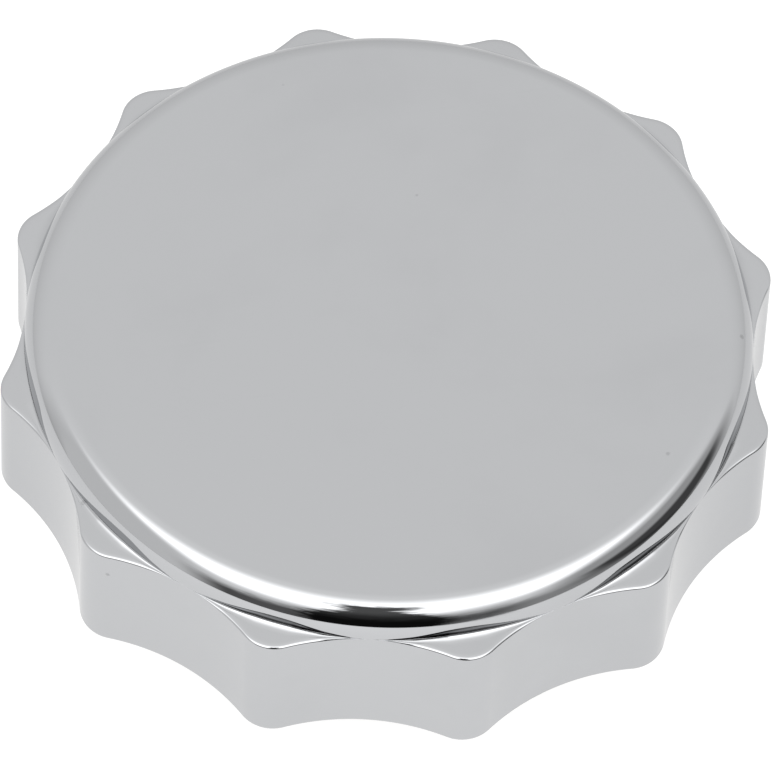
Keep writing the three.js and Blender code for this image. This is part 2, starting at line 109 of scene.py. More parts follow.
# ---------------------------------------------------------------- sizes and colours
class ShellSizes(bpy.types.PropertyGroup):
    """Sizes of the chromed shell."""

    lobes: count_of("Lobes", 12, "Finger lobes round the skirt", 3)
    lobe_radius: size("Lobe radius", 41 * MM, "Axis to the tip of a lobe at the top of the skirt")
    lobe_round: size("Lobe round", 3.8 * MM, "Radius of a lobe's tip")
    wall_radius: size("Crown radius", 38 * MM, "Axis to the crown's wall and the scallops' floors")
    lobe_top: size("Lobe height", 15.2 * MM, "Rim to the lobes' flats")
    crown_round: size("Crown round", 3.3 * MM, "Radius of the crown's edge")
    edge_drop: size("Edge drop", 0.34 * MM, "Depth of a lobe's polished top edge")
    edge_roll: size("Edge roll", 0.78 * MM, "Width of a lobe's polished top edge")
    flat_sweep: size("Sweep", 0.9 * MM, "Width over which a lobe's flat sweeps up to the crown")
    wall_corner: size("Wall corner", 0.22 * MM, "Radius between a lobe's flat and the crown's wall")
    bore: size("Bore", 34.5 * MM, "Radius of the shell's bore")
    groove: size("Groove", 35.7 * MM, "Radius of the retaining ring's groove")
    keyway: size("Keyway", 36 * MM, "Axis to the bottom of a keyway")
    ceiling: size("Ceiling", 27.7 * MM, "Height of the shell's ceiling")


class RatchetSizes(bpy.types.PropertyGroup):
    """Sizes of the ratchet and its pawls."""

    teeth: count_of("Teeth", 36, "Saw teeth round the ratchet ring", 6)
    outer: size("Ring radius", 34.2 * MM, "Radius of the ratchet ring")
    tooth_root: size("Tooth root", 32 * MM, "Radius at the roots of the teeth")
    tooth_tip: size("Tooth tip", 30.4 * MM, "Radius at the tips of the teeth")
    pivot: size("Pivot", 27.3 * MM, "Axis to the pawls' pins")
    pawl_turn: angle_size("Pawl turn", 45, "Angle of the first pawl's pin")
    nose: angle_size("Pawl nose", 17, "Angle from a pawl's pin to its nose")


class FinishColours(bpy.types.PropertyGroup):
    """Base colours of the chrome and the turned brass."""

    chrome: tint("Chrome", (0.561, 0.568, 0.581), "Bright chrome plate")
    brass: tint("Brass", (0.72, 0.52, 0.24), "Turned brass")


class StageSizes(bpy.types.PropertyGroup):
    """Where the camera stands, and its lens."""

    turn: angle_size("Camera turn", -14.06, "Camera's angle about the cap")
    rise: angle_size("Camera rise", 55.2, "Camera's angle above the floor")
    roll: angle_size("Camera roll", 2.56, "Turn about the line of sight")
    distance: size("Camera distance", 0.5824, "Camera to the middle of the cap", high=5.0)
    lens: bpy.props.FloatProperty(
        name="Lens", description="Focal length in millimetres", default=256.6, min=20, max=500
    )


# ---------------------------------------------------------------- the maker's bench
def pick(*pieces):
    """Selects these objects and nothing else."""
    if bpy.context.object and bpy.context.object.mode != "OBJECT":
        bpy.ops.object.mode_set(mode="OBJECT")
    bpy.ops.object.select_all(action="DESELECT")
    for piece in pieces:
        piece.select_set(True)
    if pieces:
        bpy.context.view_layer.objects.active = pieces[0]


def edit(piece, kind="VERT"):
    """Opens a piece in edit mode with nothing selected."""
    pick(piece)
    bpy.ops.object.mode_set(mode="EDIT")
    bpy.ops.mesh.select_mode(type=kind)
    bpy.ops.mesh.select_all(action="DESELECT")
    return bmesh.from_edit_mesh(piece.data)


def weld(outwards=True):
    """Merges doubles and turns every face outwards, in edit mode."""
    bpy.ops.mesh.select_all(action="SELECT")
    bpy.ops.mesh.remove_doubles(threshold=WELD)
    if outwards:
        bpy.ops.mesh.normals_make_consistent(inside=False)


def drawn(name, points):
    """A line drawn from point to point by extruding one vertex. It is left in edit mode."""
    pick()
    bpy.ops.mesh.primitive_plane_add(size=MM)
    piece = bpy.context.object
    piece.name = piece.data.name = name
    bpy.ops.object.mode_set(mode="EDIT")
    trail(points)
    return piece


def trail(points, fresh=False):
    """Draws a line in edit mode, from the plane just added or from a fresh one."""
    bpy.ops.mesh.select_mode(type="VERT")
    if fresh:
        bpy.ops.mesh.select_all(action="DESELECT")
        bpy.ops.mesh.primitive_plane_add(size=MM)
    bpy.ops.mesh.merge(type="CENTER")
    here = Vector(points[0])
    bpy.ops.transform.translate(value=here)
    for point in points[1:]:
        there = Vector(point)
        bpy.ops.mesh.extrude_vertices_move(TRANSFORM_OT_translate={"value": there - here})
        here = there


def polar(radius, angle):
    return radius * cos(angle), radius * sin(angle)


def circle(radius, sides, centre=(0, 0)):
    """Points round a circle, the last one on the first."""
    return [(centre[0] + radius * cos(TURN * i / sides), centre[1] + radius * sin(TURN * i / sides))
            for i in range(sides + 1)]


def soften(points, radius, closed=True):
    """Rounds the corners of a profile, other than those on the axis, and closes it."""
    count, out = len(points), []
    for i, (r, z) in enumerate(points):
        if r < WELD or (not closed and i in (0, count - 1)):
            out.append((r, z))
            continue
        here = Vector((r, z))
        before, after = Vector(points[i - 1]) - here, Vector(points[(i + 1) % count]) - here
        back = min(radius, before.length * 0.45, after.length * 0.45)
        start, stop = here + before.normalized() * back, here + after.normalized() * back
        for t in (0, 0.35, 0.65, 1):
            at = start * (1 - t) ** 2 + here * 2 * t * (1 - t) + stop * t * t
            out.append((at.x, at.y))
    return [*out, out[0]] if closed else out


def ring(name, inner, outer, low, high, edge=0.15 * MM, steps=96):
    """A turned ring with broken edges."""
    return lathe(name, soften([(inner, low), (outer, low), (outer, high), (inner, high)], edge), steps)


def plate(name, outline, low, high, holes=(), edge=0.1 * MM):
    """A closed outline and its holes filled, raised from low to high, with broken edges."""
    piece = drawn(name, [(x, y, low) for x, y in outline])
    for hole in holes:
        trail([(x, y, low) for x, y in hole], fresh=True)
    weld(outwards=False)
    bpy.ops.mesh.fill(use_beauty=True)
    bpy.ops.mesh.select_all(action="SELECT")
    bpy.ops.mesh.extrude_region_move(TRANSFORM_OT_translate={"value": (0, 0, high - low)})
    weld()
    bpy.ops.object.mode_set(mode="OBJECT")
    if edge:
        bevel = piece.modifiers.new("Edges", "BEVEL")
        bevel.width, bevel.segments, bevel.angle_limit = edge, 2, radians(35)
        done(piece, bevel)
    return piece


def copy_of(piece, name, at=(0, 0, 0), turn=0.0):
    """A copy with its own mesh, turned about the cap's axis and moved."""
    pick(piece)
    bpy.ops.object.duplicate()
    twin = bpy.context.object
    twin.name = twin.data.name = name
    twin.rotation_euler.z = turn
    twin.location = at
    bpy.ops.object.transform_apply(location=True, rotation=True, scale=True)
    return twin


def drills(radius, low, high, places, flare=0.0, sides=40):
    """Cutters for round holes at (x, y) places, flared at both faces."""
    wide = radius + 2 * flare
    profile = [(0, low - flare), (wide, low - flare), (radius, low + flare),
               (radius, high - flare), (wide, high + flare), (0, high + flare)]
    if not flare:
        profile = [(0, low), (radius, low), (radius, high), (0, high)]
    first = lathe("drill", profile, sides)
    twins = [copy_of(first, "drill", at=(x, y, 0)) for x, y in places]
    bpy.data.objects.remove(first)
    pick(*twins)
    if len(twins) > 1:
        bpy.ops.object.join()
    return bpy.context.object


def placed(radius, count, start=0.0):
    return [polar(radius, start + TURN * i / count) for i in range(count)]


def bar(near, far, half):
    """The outline of a bar that points away from the axis, its last point on the first."""
    return [(near, -half), (far, -half), (far, half), (near, half), (near, -half)]


def thrice(cutter, start=0.0):
    """Three copies of a cutter, evenly round the axis. The cutter itself goes."""
    copies = [copy_of(cutter, cutter.name, turn=start + TURN * i / 3) for i in range(3)]
    bpy.data.objects.remove(cutter)
    return copies


def coil(name, radius, wire, low, high, turns, steps=44):
    """A compression spring: a wire swept along a helix whose end turns are closed."""
    dead = 1.0
    total = turns + 2 * dead
    bottom, top = low + wire, high - wire
    # wire is a radius, so a closed turn climbs just over the wire's thickness
    closed = dead * 2.1 * wire
    points = []
    for i in range(int(total * steps) + 1):
        t = i / steps
        if t < dead:
            z = bottom + closed * t / dead
        elif t > total - dead:
            z = top - closed * (total - t) / dead
        else:
            z = bottom + closed + (top - bottom - 2 * closed) * (t - dead) / turns
        points.append((*polar(radius, TURN * t), z))
    piece = drawn(name, points)
    bpy.ops.object.mode_set(mode="OBJECT")
    bpy.ops.object.convert(target="CURVE")
    wire_curve = bpy.context.object
    wire_curve.data.bevel_depth = wire
    wire_curve.data.bevel_resolution = 2
    wire_curve.data.use_fill_caps = True
    bpy.ops.object.convert(target="MESH")
    piece = bpy.context.object
    edit(piece)
    weld()
    bpy.ops.object.mode_set(mode="OBJECT")
    return piece


def finish(piece, material, slot, body, *nodes, angle=FAIR, weighted=True):
    """Shades a piece, gives it its finish, hides the parts of model.glb it stands for, and hangs it on the
    body it moves with.
    """
    smooth(piece, angle, weighted)
    piece.data.materials.clear()
    piece.data.materials.append(material)
    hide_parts(*nodes)
    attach(piece, body)
    return piece


def lathe(name, profile, steps=96, angle=TURN):
    """A profile of (radius, height) points turned about the cap's axis."""
    piece = drawn(name, [(r, 0, z) for r, z in profile])
    bpy.ops.mesh.select_all(action="SELECT")
    bpy.ops.mesh.spin(steps=steps, angle=angle, center=(0, 0, 0), axis=(0, 0, 1))
    weld(outwards=angle == TURN)
    bpy.ops.object.mode_set(mode="OBJECT")
    return piece


def done(piece, modifier):
    """Applies a modifier."""
    pick(piece)
    bpy.ops.object.modifier_apply(modifier=modifier.name)


def smooth(piece, angle=FAIR, weighted=True):
    """Smooth shading with crisp edges, weighted so that flats stay flat."""
    pick(piece)
    bpy.ops.object.shade_smooth_by_angle(angle=angle)
    if weighted:
        modifier = piece.modifiers.new("Weighted", "WEIGHTED_NORMAL")
        modifier.keep_sharp = True
        done(piece, modifier)


def cut(piece, *cutters):
    """Cuts the cutters out of a piece, and throws them away."""
    for cutter in cutters:
        modifier = piece.modifiers.new("Cut", "BOOLEAN")
        modifier.operation = "DIFFERENCE"
        modifier.solver = "EXACT"
        modifier.object = cutter
        done(piece, modifier)
        bpy.data.objects.remove(cutter)


# ---------------------------------------------------------------- shell
def arc(centre, radius, start, stop, steps):
    """Points on an arc from one angle to another, both ends included."""
    return [
        (centre[0] + radius * cos(start + (stop - start) * i / steps),
         centre[1] + radius * sin(start + (stop - start) * i / steps))
        for i in range(steps + 1)
    ]


class Lobes:
    """The skirt's outline: lobe tips joined by scallops that just reach the crown's wall."""

    def __init__(self, sizes):
        self.half = pi / sizes.lobes
        self.tip = sizes.lobe_round
        self.tip_centre = sizes.lobe_radius - self.tip
        inner = sizes.wall_radius - self.tip
        self.centre = (self.tip_centre**2 - inner**2) / (2 * (self.tip_centre * cos(self.half) - inner))
        self.scallop = self.centre - sizes.wall_radius
        across = self.centre * sin(self.half)
        along = self.centre * cos(self.half) - self.tip_centre
        share = self.tip / (self.tip + self.scallop)
        self.meet = atan2(across * share, self.tip_centre + along * share)

    def radius(self, angle):
        """The outline's radius at an angle from a lobe's tip, up to half a lobe."""
        if angle <= self.meet:
            return self.tip_centre * cos(angle) + sqrt(self.tip**2 - (self.tip_centre * sin(angle)) ** 2)
        off = angle - self.half
        return self.centre * cos(off) - sqrt(max(self.scallop**2 - (self.centre * sin(off)) ** 2, 0))


def ease(t):
    """A smooth step from 0 to 1."""
    t = min(max(t, 0.0), 1.0)
    return t * t * (3 - 2 * t)


def skirt_column(sizes, radius, rim_z):
    """The (radius, height) points up the outside of the shell, from its rim to the crown's wall."""
    width = radius - sizes.wall_radius
    full_width = 0.9 * MM  # a flat narrower than this has a smaller edge and corner
    shrink = ease(width / full_width)
    top = rim_z + sizes.lobe_top
    flare = tan(DRAFT) / sizes.lobe_radius
    lip = 0.5 * MM
    points = []
    for i in range(1, 4):
        a = pi / 2 * i / 3
        points.append((radius - lip * (1 - sin(a)), rim_z + lip * (1 - cos(a))))
    points += [(radius, rim_z + f * (sizes.lobe_top - sizes.edge_drop)) for f in (0.25, 0.5, 0.75, 1)]
    points = [(r * (1 + flare * (top - z)), z) for r, z in points]
    # the polished edge: a tight corner that opens into a long soft roll
    drop, roll = sizes.edge_drop * (0.2 + 0.8 * shrink), sizes.edge_roll * shrink
    points[-1] = (points[-1][0], top - drop)
    for i in range(1, 9):
        t = i / 8
        a = pi / 2 * t
        points.append((radius - roll * (1 - cos(a)) ** 1.5, top - drop * (1 - sin(a))))
    # the flat sweeps up a little, then turns tightly up the crown's wall
    corner = sizes.wall_corner * shrink
    sweep = min(sizes.flat_sweep, 0.36 * width)
    lift = radians(24)
    bend = sweep / sin(lift)
    foot = sizes.wall_radius + corner * (1 - sin(lift))
    for i in range(9):
        a = lift * i / 8
        points.append((foot + sweep - bend * sin(a), top + bend * (1 - cos(a))))
    rise = bend * (1 - cos(lift))
    for i in range(1, 8):
        a = lift + (pi / 2 - lift) * i / 7
        points.append((foot - corner * (sin(a) - sin(lift)), top + rise + corner * (cos(lift) - cos(a))))
    return points


def spots(piece):
    """A tree that finds a piece's vertices by their place."""
    tree = KDTree(len(piece.data.vertices))
    for vertex in piece.data.vertices:
        tree.insert(vertex.co, vertex.index)
    tree.balance()
    return tree


def pull(piece, moves):
    """Moves vertices one by one in edit mode: moves holds (vertex index, way to go)."""
    bm = edit(piece)
    bm.verts.ensure_lookup_table()
    for index, way in moves:
        if way.length < 1e-8:
            continue
        vertex = bm.verts[index]
        vertex.select_set(True)
        bpy.ops.transform.translate(value=way)
        vertex.select_set(False)
    bpy.ops.object.mode_set(mode="OBJECT")


def crown_profile(sizes):
    """The crown's edge, from its wall over to the middle, easing into the flat."""
    wall, crown, round_ = sizes.wall_radius, TOP_Z, sizes.crown_round
    over = arc((wall - round_, crown - round_), round_, radians(2), radians(84), 26)
    last_r, last_z = over[-1]
    drop = crown - last_z
    run = 2 * drop / tan(radians(6))
    blend = [(last_r - run * i / 9, last_z + drop * (2 * i / 9 - (i / 9) ** 2)) for i in range(1, 10)]
    flat = [(f * (last_r - run), crown) for f in (0.85, 0.6, 0.35, 0.15, 0.04, 0)]
    return over + blend + flat


class BuildShell(bpy.types.Operator):
    """Models the lobed, chromed shell"""

    bl_idname = "fillcap.shell"
    bl_label = "Chromed shell"

    def execute(self, context):
        sizes = context.scene.fill_cap_shell
        lobes = Lobes(sizes)
        bore, groove, ceiling = sizes.bore, sizes.groove, sizes.ceiling
        fillet, entry = 0.6 * MM, 0.7 * MM
        groove_foot, groove_top, slant = RIM_Z + 6.4 * MM, RIM_Z + 8.2 * MM, 0.1 * MM
        inside = [
            (0, ceiling),
            (12 * MM, ceiling),
            (24 * MM, ceiling),
            (bore - fillet, ceiling),
            (bore, ceiling - fillet),
            (bore, groove_top + slant),
            (groove, groove_top),
            (groove, groove_foot),
            (bore, groove_foot - slant),
            (bore, RIM_Z + 3 * MM),
            (bore, RIM_Z + entry),
            (bore + entry, RIM_Z),
            (sizes.wall_radius - 1.2 * MM, RIM_Z),
            (sizes.wall_radius - 0.7 * MM, RIM_Z),
        ]
        steps = 32
        half = lobes.half
        tip = skirt_column(sizes, lobes.radius(0), RIM_Z)
        profile = inside + tip + crown_profile(sizes)
        piece = lathe("shell", profile, steps=steps, angle=-half)
        tree = spots(piece)
        moves = []
        for column in range(steps + 1):
            angle = half * column / steps
            if abs(angle - lobes.meet) < half / steps / 2:
                angle = lobes.meet
            for (r, z), (radius, height) in zip(tip, skirt_column(sizes, lobes.radius(angle), RIM_Z)):
                at = half * column / steps
                here, index, gap = tree.find((r * cos(at), r * sin(at), z))
                if gap > WELD:
                    raise RuntimeError("the shell's rings are not where they should be")
                goal = Vector((radius * cos(angle), radius * sin(angle), height))
                moves.append((index, goal - here))
        pull(piece, moves)
        mirror = piece.modifiers.new("Other half", "MIRROR")
        mirror.use_axis = (False, True, False)
        mirror.merge_threshold = WELD
        done(piece, mirror)
        edit(piece)
        bpy.ops.mesh.select_all(action="SELECT")
        bpy.ops.mesh.spin(
            steps=sizes.lobes - 1, dupli=True, angle=TURN - 2 * half, center=(0, 0, 0), axis=(0, 0, 1)
        )
        weld()
        bpy.ops.object.mode_set(mode="OBJECT")
        # the keyways stop just short of the ceiling
        bottom, top = RIM_Z - MM, ceiling - 0.01 * MM
        key = plate("key", bar(30 * MM, sizes.keyway, 2.3 * MM), bottom, top, edge=0)
        cut(piece, *thrice(key))
        finish(piece, chrome(context), "chrome_shell", "hand_cap", "cap_shell")
        return {"FINISHED"}


# ---------------------------------------------------------------- ratchet and rings
class BuildRings(bpy.types.Operator):
    """Models the ratchet ring, thrust washer, retaining ring and gasket"""

    bl_idname = "fillcap.rings"
    bl_label = "Ratchet ring, washer, retaining ring and gasket"

    def execute(self, context):
        sizes = context.scene.fill_cap_ratchet
        _, low, high = reach("ratchet_ring")
        root, tip, outer = sizes.tooth_root, sizes.tooth_tip, sizes.outer
        half_key = 2 * MM
        lug = 35.7 * MM
        rim = []
        for i in range(3):
            at = TURN * i / 3
            spread = asin(half_key / outer)
            rim += [polar(outer, at + spread + (TURN / 3 - 2 * spread) * k / 32) for k in range(33)]
            for side in (-half_key, half_key):
                x, y = lug, side
                turn = at + TURN / 3
                rim.append((x * cos(turn) - y * sin(turn), x * sin(turn) + y * cos(turn)))
        teeth = []
        pitch = TURN / sizes.teeth
        lean = (root - tip) * tan(TOOTH_LEAN) / tip
        phase = sizes.pawl_turn - sizes.nose - GAP / root
        for i in range(sizes.teeth):
            at = phase + pitch * i
            ramp = pitch - lean
            teeth += [polar(root, at), polar((root + tip) / 2, at + ramp / 2),
                      polar(tip, at + ramp * 0.97), polar(tip + 0.06 * MM, at + ramp)]
        ratchet = plate("ratchet", [*rim, rim[0]], low, high, holes=[[*teeth, teeth[0]]], edge=0.12 * MM)
        steel = sintered(context)
        finish(ratchet, steel, "ratchet_steel", "hand_cap", "ratchet_ring")

        outer, low, high = reach("thrust_washer")
        washer = ring("slip_washer", 17 * MM, outer, low, high, edge=0.2 * MM)
        oil_holes = placed(25.6 * MM, 6, radians(30))
        cut(washer, drills(1.2 * MM, low - MM, high + MM, oil_holes, sides=20))
        finish(washer, nylon(context), "washer_nylon", "hand_cap", "thrust_washer", angle=CRISP)

        # the retaining ring is open towards +Y, with an eye for the pliers at each end
        _, low, high = reach("retaining_ring")
        inner, outer = 32.4 * MM, 35.4 * MM
        start, stop = radians(90 + 7), radians(90 + 353)
        count = 120
        angles = [start + (stop - start) * i / count for i in range(count + 1)]
        band = [polar(outer, a) for a in angles] + [polar(inner, a) for a in reversed(angles)]
        middle = (inner + outer) / 2
        eyes = [circle(0.75 * MM, 16, polar(middle, a)) for a in (start + radians(2.6), stop - radians(2.6))]
        clip = plate("retainer", [*band, band[0]], low, high, holes=eyes, edge=0.15 * MM)
        finish(clip, spring_steel(context), "spring_steel", "hand_cap", "retaining_ring")

        _, low, high = reach("neck_gasket")
        inner, outer = 23.2 * MM, 31.8 * MM
        beads = []
        for middle in (25.3 * MM, 29.7 * MM):
            beads += [(middle - 0.9 * MM, low + 0.4 * MM), (middle - 0.3 * MM, low),
                      (middle + 0.3 * MM, low), (middle + 0.9 * MM, low + 0.4 * MM)]
        profile = [(inner, low + 0.4 * MM), *beads, (outer, low + 0.4 * MM), (outer, high), (inner, high)]
        gasket = lathe("seat_gasket", soften(profile, 0.3 * MM), 128)
        finish(gasket, rubber(context), "gasket_rubber", "closure", "neck_gasket")
        return {"FINISHED"}


# ---------------------------------------------------------------- closure
class BuildClosure(bpy.types.Operator):
    """Models the threaded closure: plug, flange, hub and valve seat"""

    bl_idname = "fillcap.closure"
    bl_label = "Threaded closure"

    def execute(self, context):
        sizes = context.scene.fill_cap_ratchet
        minor, crest = 22.9 * MM, 24.5 * MM
        # radii and heights in millimetres
        mouth, snap_groove, chamber, seat, recess = 18.4, 19.4, 17, 9, 21.5
        plug, hub, flange = minor / MM, HUB / MM, 34.2
        outside = [(mouth, 0), (plug - 1, 0), (plug, 1), (plug, 16.6), (plug - 0.4, 17.0), (plug - 0.4, 17.4),
                   (plug, 17.8), (plug, 20.2), (flange, 20.2), (flange, 22.7), (hub, 22.7), (hub, 26.3)]
        inside = [(recess, 26.3), (recess, 21.6), (chamber, 21.6), (chamber, 9), (seat + 2, 9),
                  (seat + 1.4, 9.3), (seat + 0.6, 9.3), (seat, 9), (seat, 7), (chamber, 7), (chamber, 3.8),
                  (mouth, 3.8), (mouth, 2.2), (snap_groove, 2.2), (snap_groove, 0.8), (mouth, 0.8)]
        points = [(r * MM, z * MM) for r, z in outside + inside]
        body = lathe("plug", soften(points, 0.25 * MM), 144)

        # the thread: a ridge wound round the plug, run out at both ends
        turns, pitch, last = 2.643, 4.2 * MM, 13.7 * MM
        fade = 0.16  # the share of a turn over which an end runs out
        sunk, shoulder = minor - 0.4 * MM, crest - 0.15 * MM
        section = [(sunk, 1.45), (shoulder, 0.62), (crest, 0.42), (crest, -0.42), (shoulder, -0.62),
                   (sunk, -1.45), (sunk, 1.45)]
        ridge = drawn("ridge", [(r, 0, last + z * MM) for r, z in section])
        weld(outwards=False)
        bpy.ops.object.mode_set(mode="OBJECT")
        screw = ridge.modifiers.new("Thread", "SCREW")
        screw.angle = -turns * TURN
        screw.screw_offset = -turns * pitch
        screw.steps = screw.render_steps = int(turns * 96)
        done(ridge, screw)
        moves = []
        for vertex in ridge.data.vertices:
            x, y, z = vertex.co
            around = atan2(y, x) / TURN
            along = around + round((z - last) / pitch - around)
            from_end = min(-along, turns + along)
            radius = hypot(x, y)
            if from_end < fade and radius > minor:
                left = ease(max(from_end, 0) / fade)
                under = minor - 0.35 * MM
                goal = under + (radius - under) * left
                moves.append((vertex.index, Vector((x, y, 0)) * (goal / radius - 1)))
        pull(ridge, moves)
        edit(ridge, "EDGE")
        bpy.ops.mesh.select_non_manifold()
        bpy.ops.mesh.edge_face_add()
        weld()
        bpy.ops.object.mode_set(mode="OBJECT")
        join = body.modifiers.new("Thread", "BOOLEAN")
        join.operation, join.solver, join.object = "UNION", "EXACT", ridge
        done(body, join)
        bpy.data.objects.remove(ridge)

        pivots = placed(sizes.pivot, 3, sizes.pawl_turn)
        screws = placed(SCREW_CIRCLE, 3)
        slot = plate("slot", bar(22.8 * MM, 25.5 * MM, 0.55 * MM), 23 * MM, 27 * MM, edge=0)
        slots = thrice(slot, sizes.pawl_turn - LEAF_SLOT)
        cut(
            body,
            drills(1.55 * MM, 21 * MM, 23 * MM, pivots),
            drills(1.5 * MM, 17.1 * MM, 22 * MM, screws),
            *slots,
        )
        finish(body, turned_brass(context), "plug_brass", "closure", "closure_body", angle=CRISP)
        return {"FINISHED"}


# ---------------------------------------------------------------- pawls
class BuildPawls(bpy.types.Operator):
    """Models the pawls, their pins and their leaf springs"""

    bl_idname = "fillcap.pawls"
    bl_label = "Pawls, pins and leaf springs"

    def execute(self, context):
        sizes = context.scene.fill_cap_ratchet
        _, low, high = reach("pawl_1")
        nose, root, tip = -sizes.nose, sizes.tooth_root - GAP, sizes.tooth_tip
        lean = (sizes.tooth_root - tip) * tan(TOOTH_LEAN) / tip
        pivot, eye = sizes.pivot, 2.6 * MM
        outline = [polar(tip - 1.6 * MM, nose - lean), polar(tip - GAP, nose - lean), polar(root, nose),
                   polar(root - 0.9 * MM, nose + radians(4)), polar(tip - 0.8 * MM, nose + radians(9))]
        outline += arc((pivot, 0), eye, radians(-30), radians(205), 24)
        hole = circle(1.55 * MM, 24, (pivot, 0))
        pawl = plate("pawl", [*outline, outline[0]], low, high, holes=[hole], edge=0.2 * MM)

        _, pin_low, pin_high = reach("pawl_pin_1")
        profile = [(0, pin_low), (1.25 * MM, pin_low), (1.25 * MM, pin_high), (0.45 * MM, pin_high),
                   (0.3 * MM, pin_high - 0.25 * MM), (0, pin_high - 0.3 * MM)]
        pin = lathe("pin", soften(profile, 0.22 * MM, closed=False), 32)

        _, leaf_low, leaf_high = reach("pawl_spring_1")
        half = 0.25 * MM
        slot, end_at = -LEAF_SLOT, nose - lean + radians(0.5)
        bend, knee = polar(HUB + 0.8 * MM, slot), polar(HUB + 1.1 * MM, slot + radians(6))
        end = polar(tip - 2.1 * MM, end_at)
        line = [Vector(polar(HUB - 1.1 * MM, slot))]
        for i in range(13):
            t = i / 12
            line.append(Vector(bend) * (1 - t) ** 2 + Vector(knee) * 2 * t * (1 - t) + Vector(end) * t * t)
        sides = []
        for side in (-1, 1):
            edge = []
            for i, at in enumerate(line):
                way = (line[min(i + 1, len(line) - 1)] - line[max(i - 1, 0)]).normalized()
                edge.append((at.x - side * half * way.y, at.y + side * half * way.x))
            sides.append(edge)
        strip = [*sides[0], *reversed(sides[1])]
        leaf = plate("leaf", [*strip, strip[0]], leaf_low, leaf_high, edge=0.08 * MM)

        pressed, bright = sintered(context), spring_steel(context)
        for i in range(3):
            turn = sizes.pawl_turn + TURN * i / 3
            number = i + 1
            one = copy_of(pawl, f"click_pawl_{number}", turn=turn)
            finish(one, pressed, "ratchet_steel", f"pawl_{number}", f"pawl_{number}")
            one = copy_of(pin, f"pivot_pin_{number}", at=(*polar(pivot, turn), 0))
            finish(one, bright, "fastener_steel", "closure", f"pawl_pin_{number}")
            one = copy_of(leaf, f"leaf_spring_{number}", turn=turn)
            finish(one, bright, "spring_steel", "closure", f"pawl_spring_{number}")
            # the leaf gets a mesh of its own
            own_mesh(one)
        for spare in (pawl, pin, leaf):
            bpy.data.objects.remove(spare)
        return {"FINISHED"}


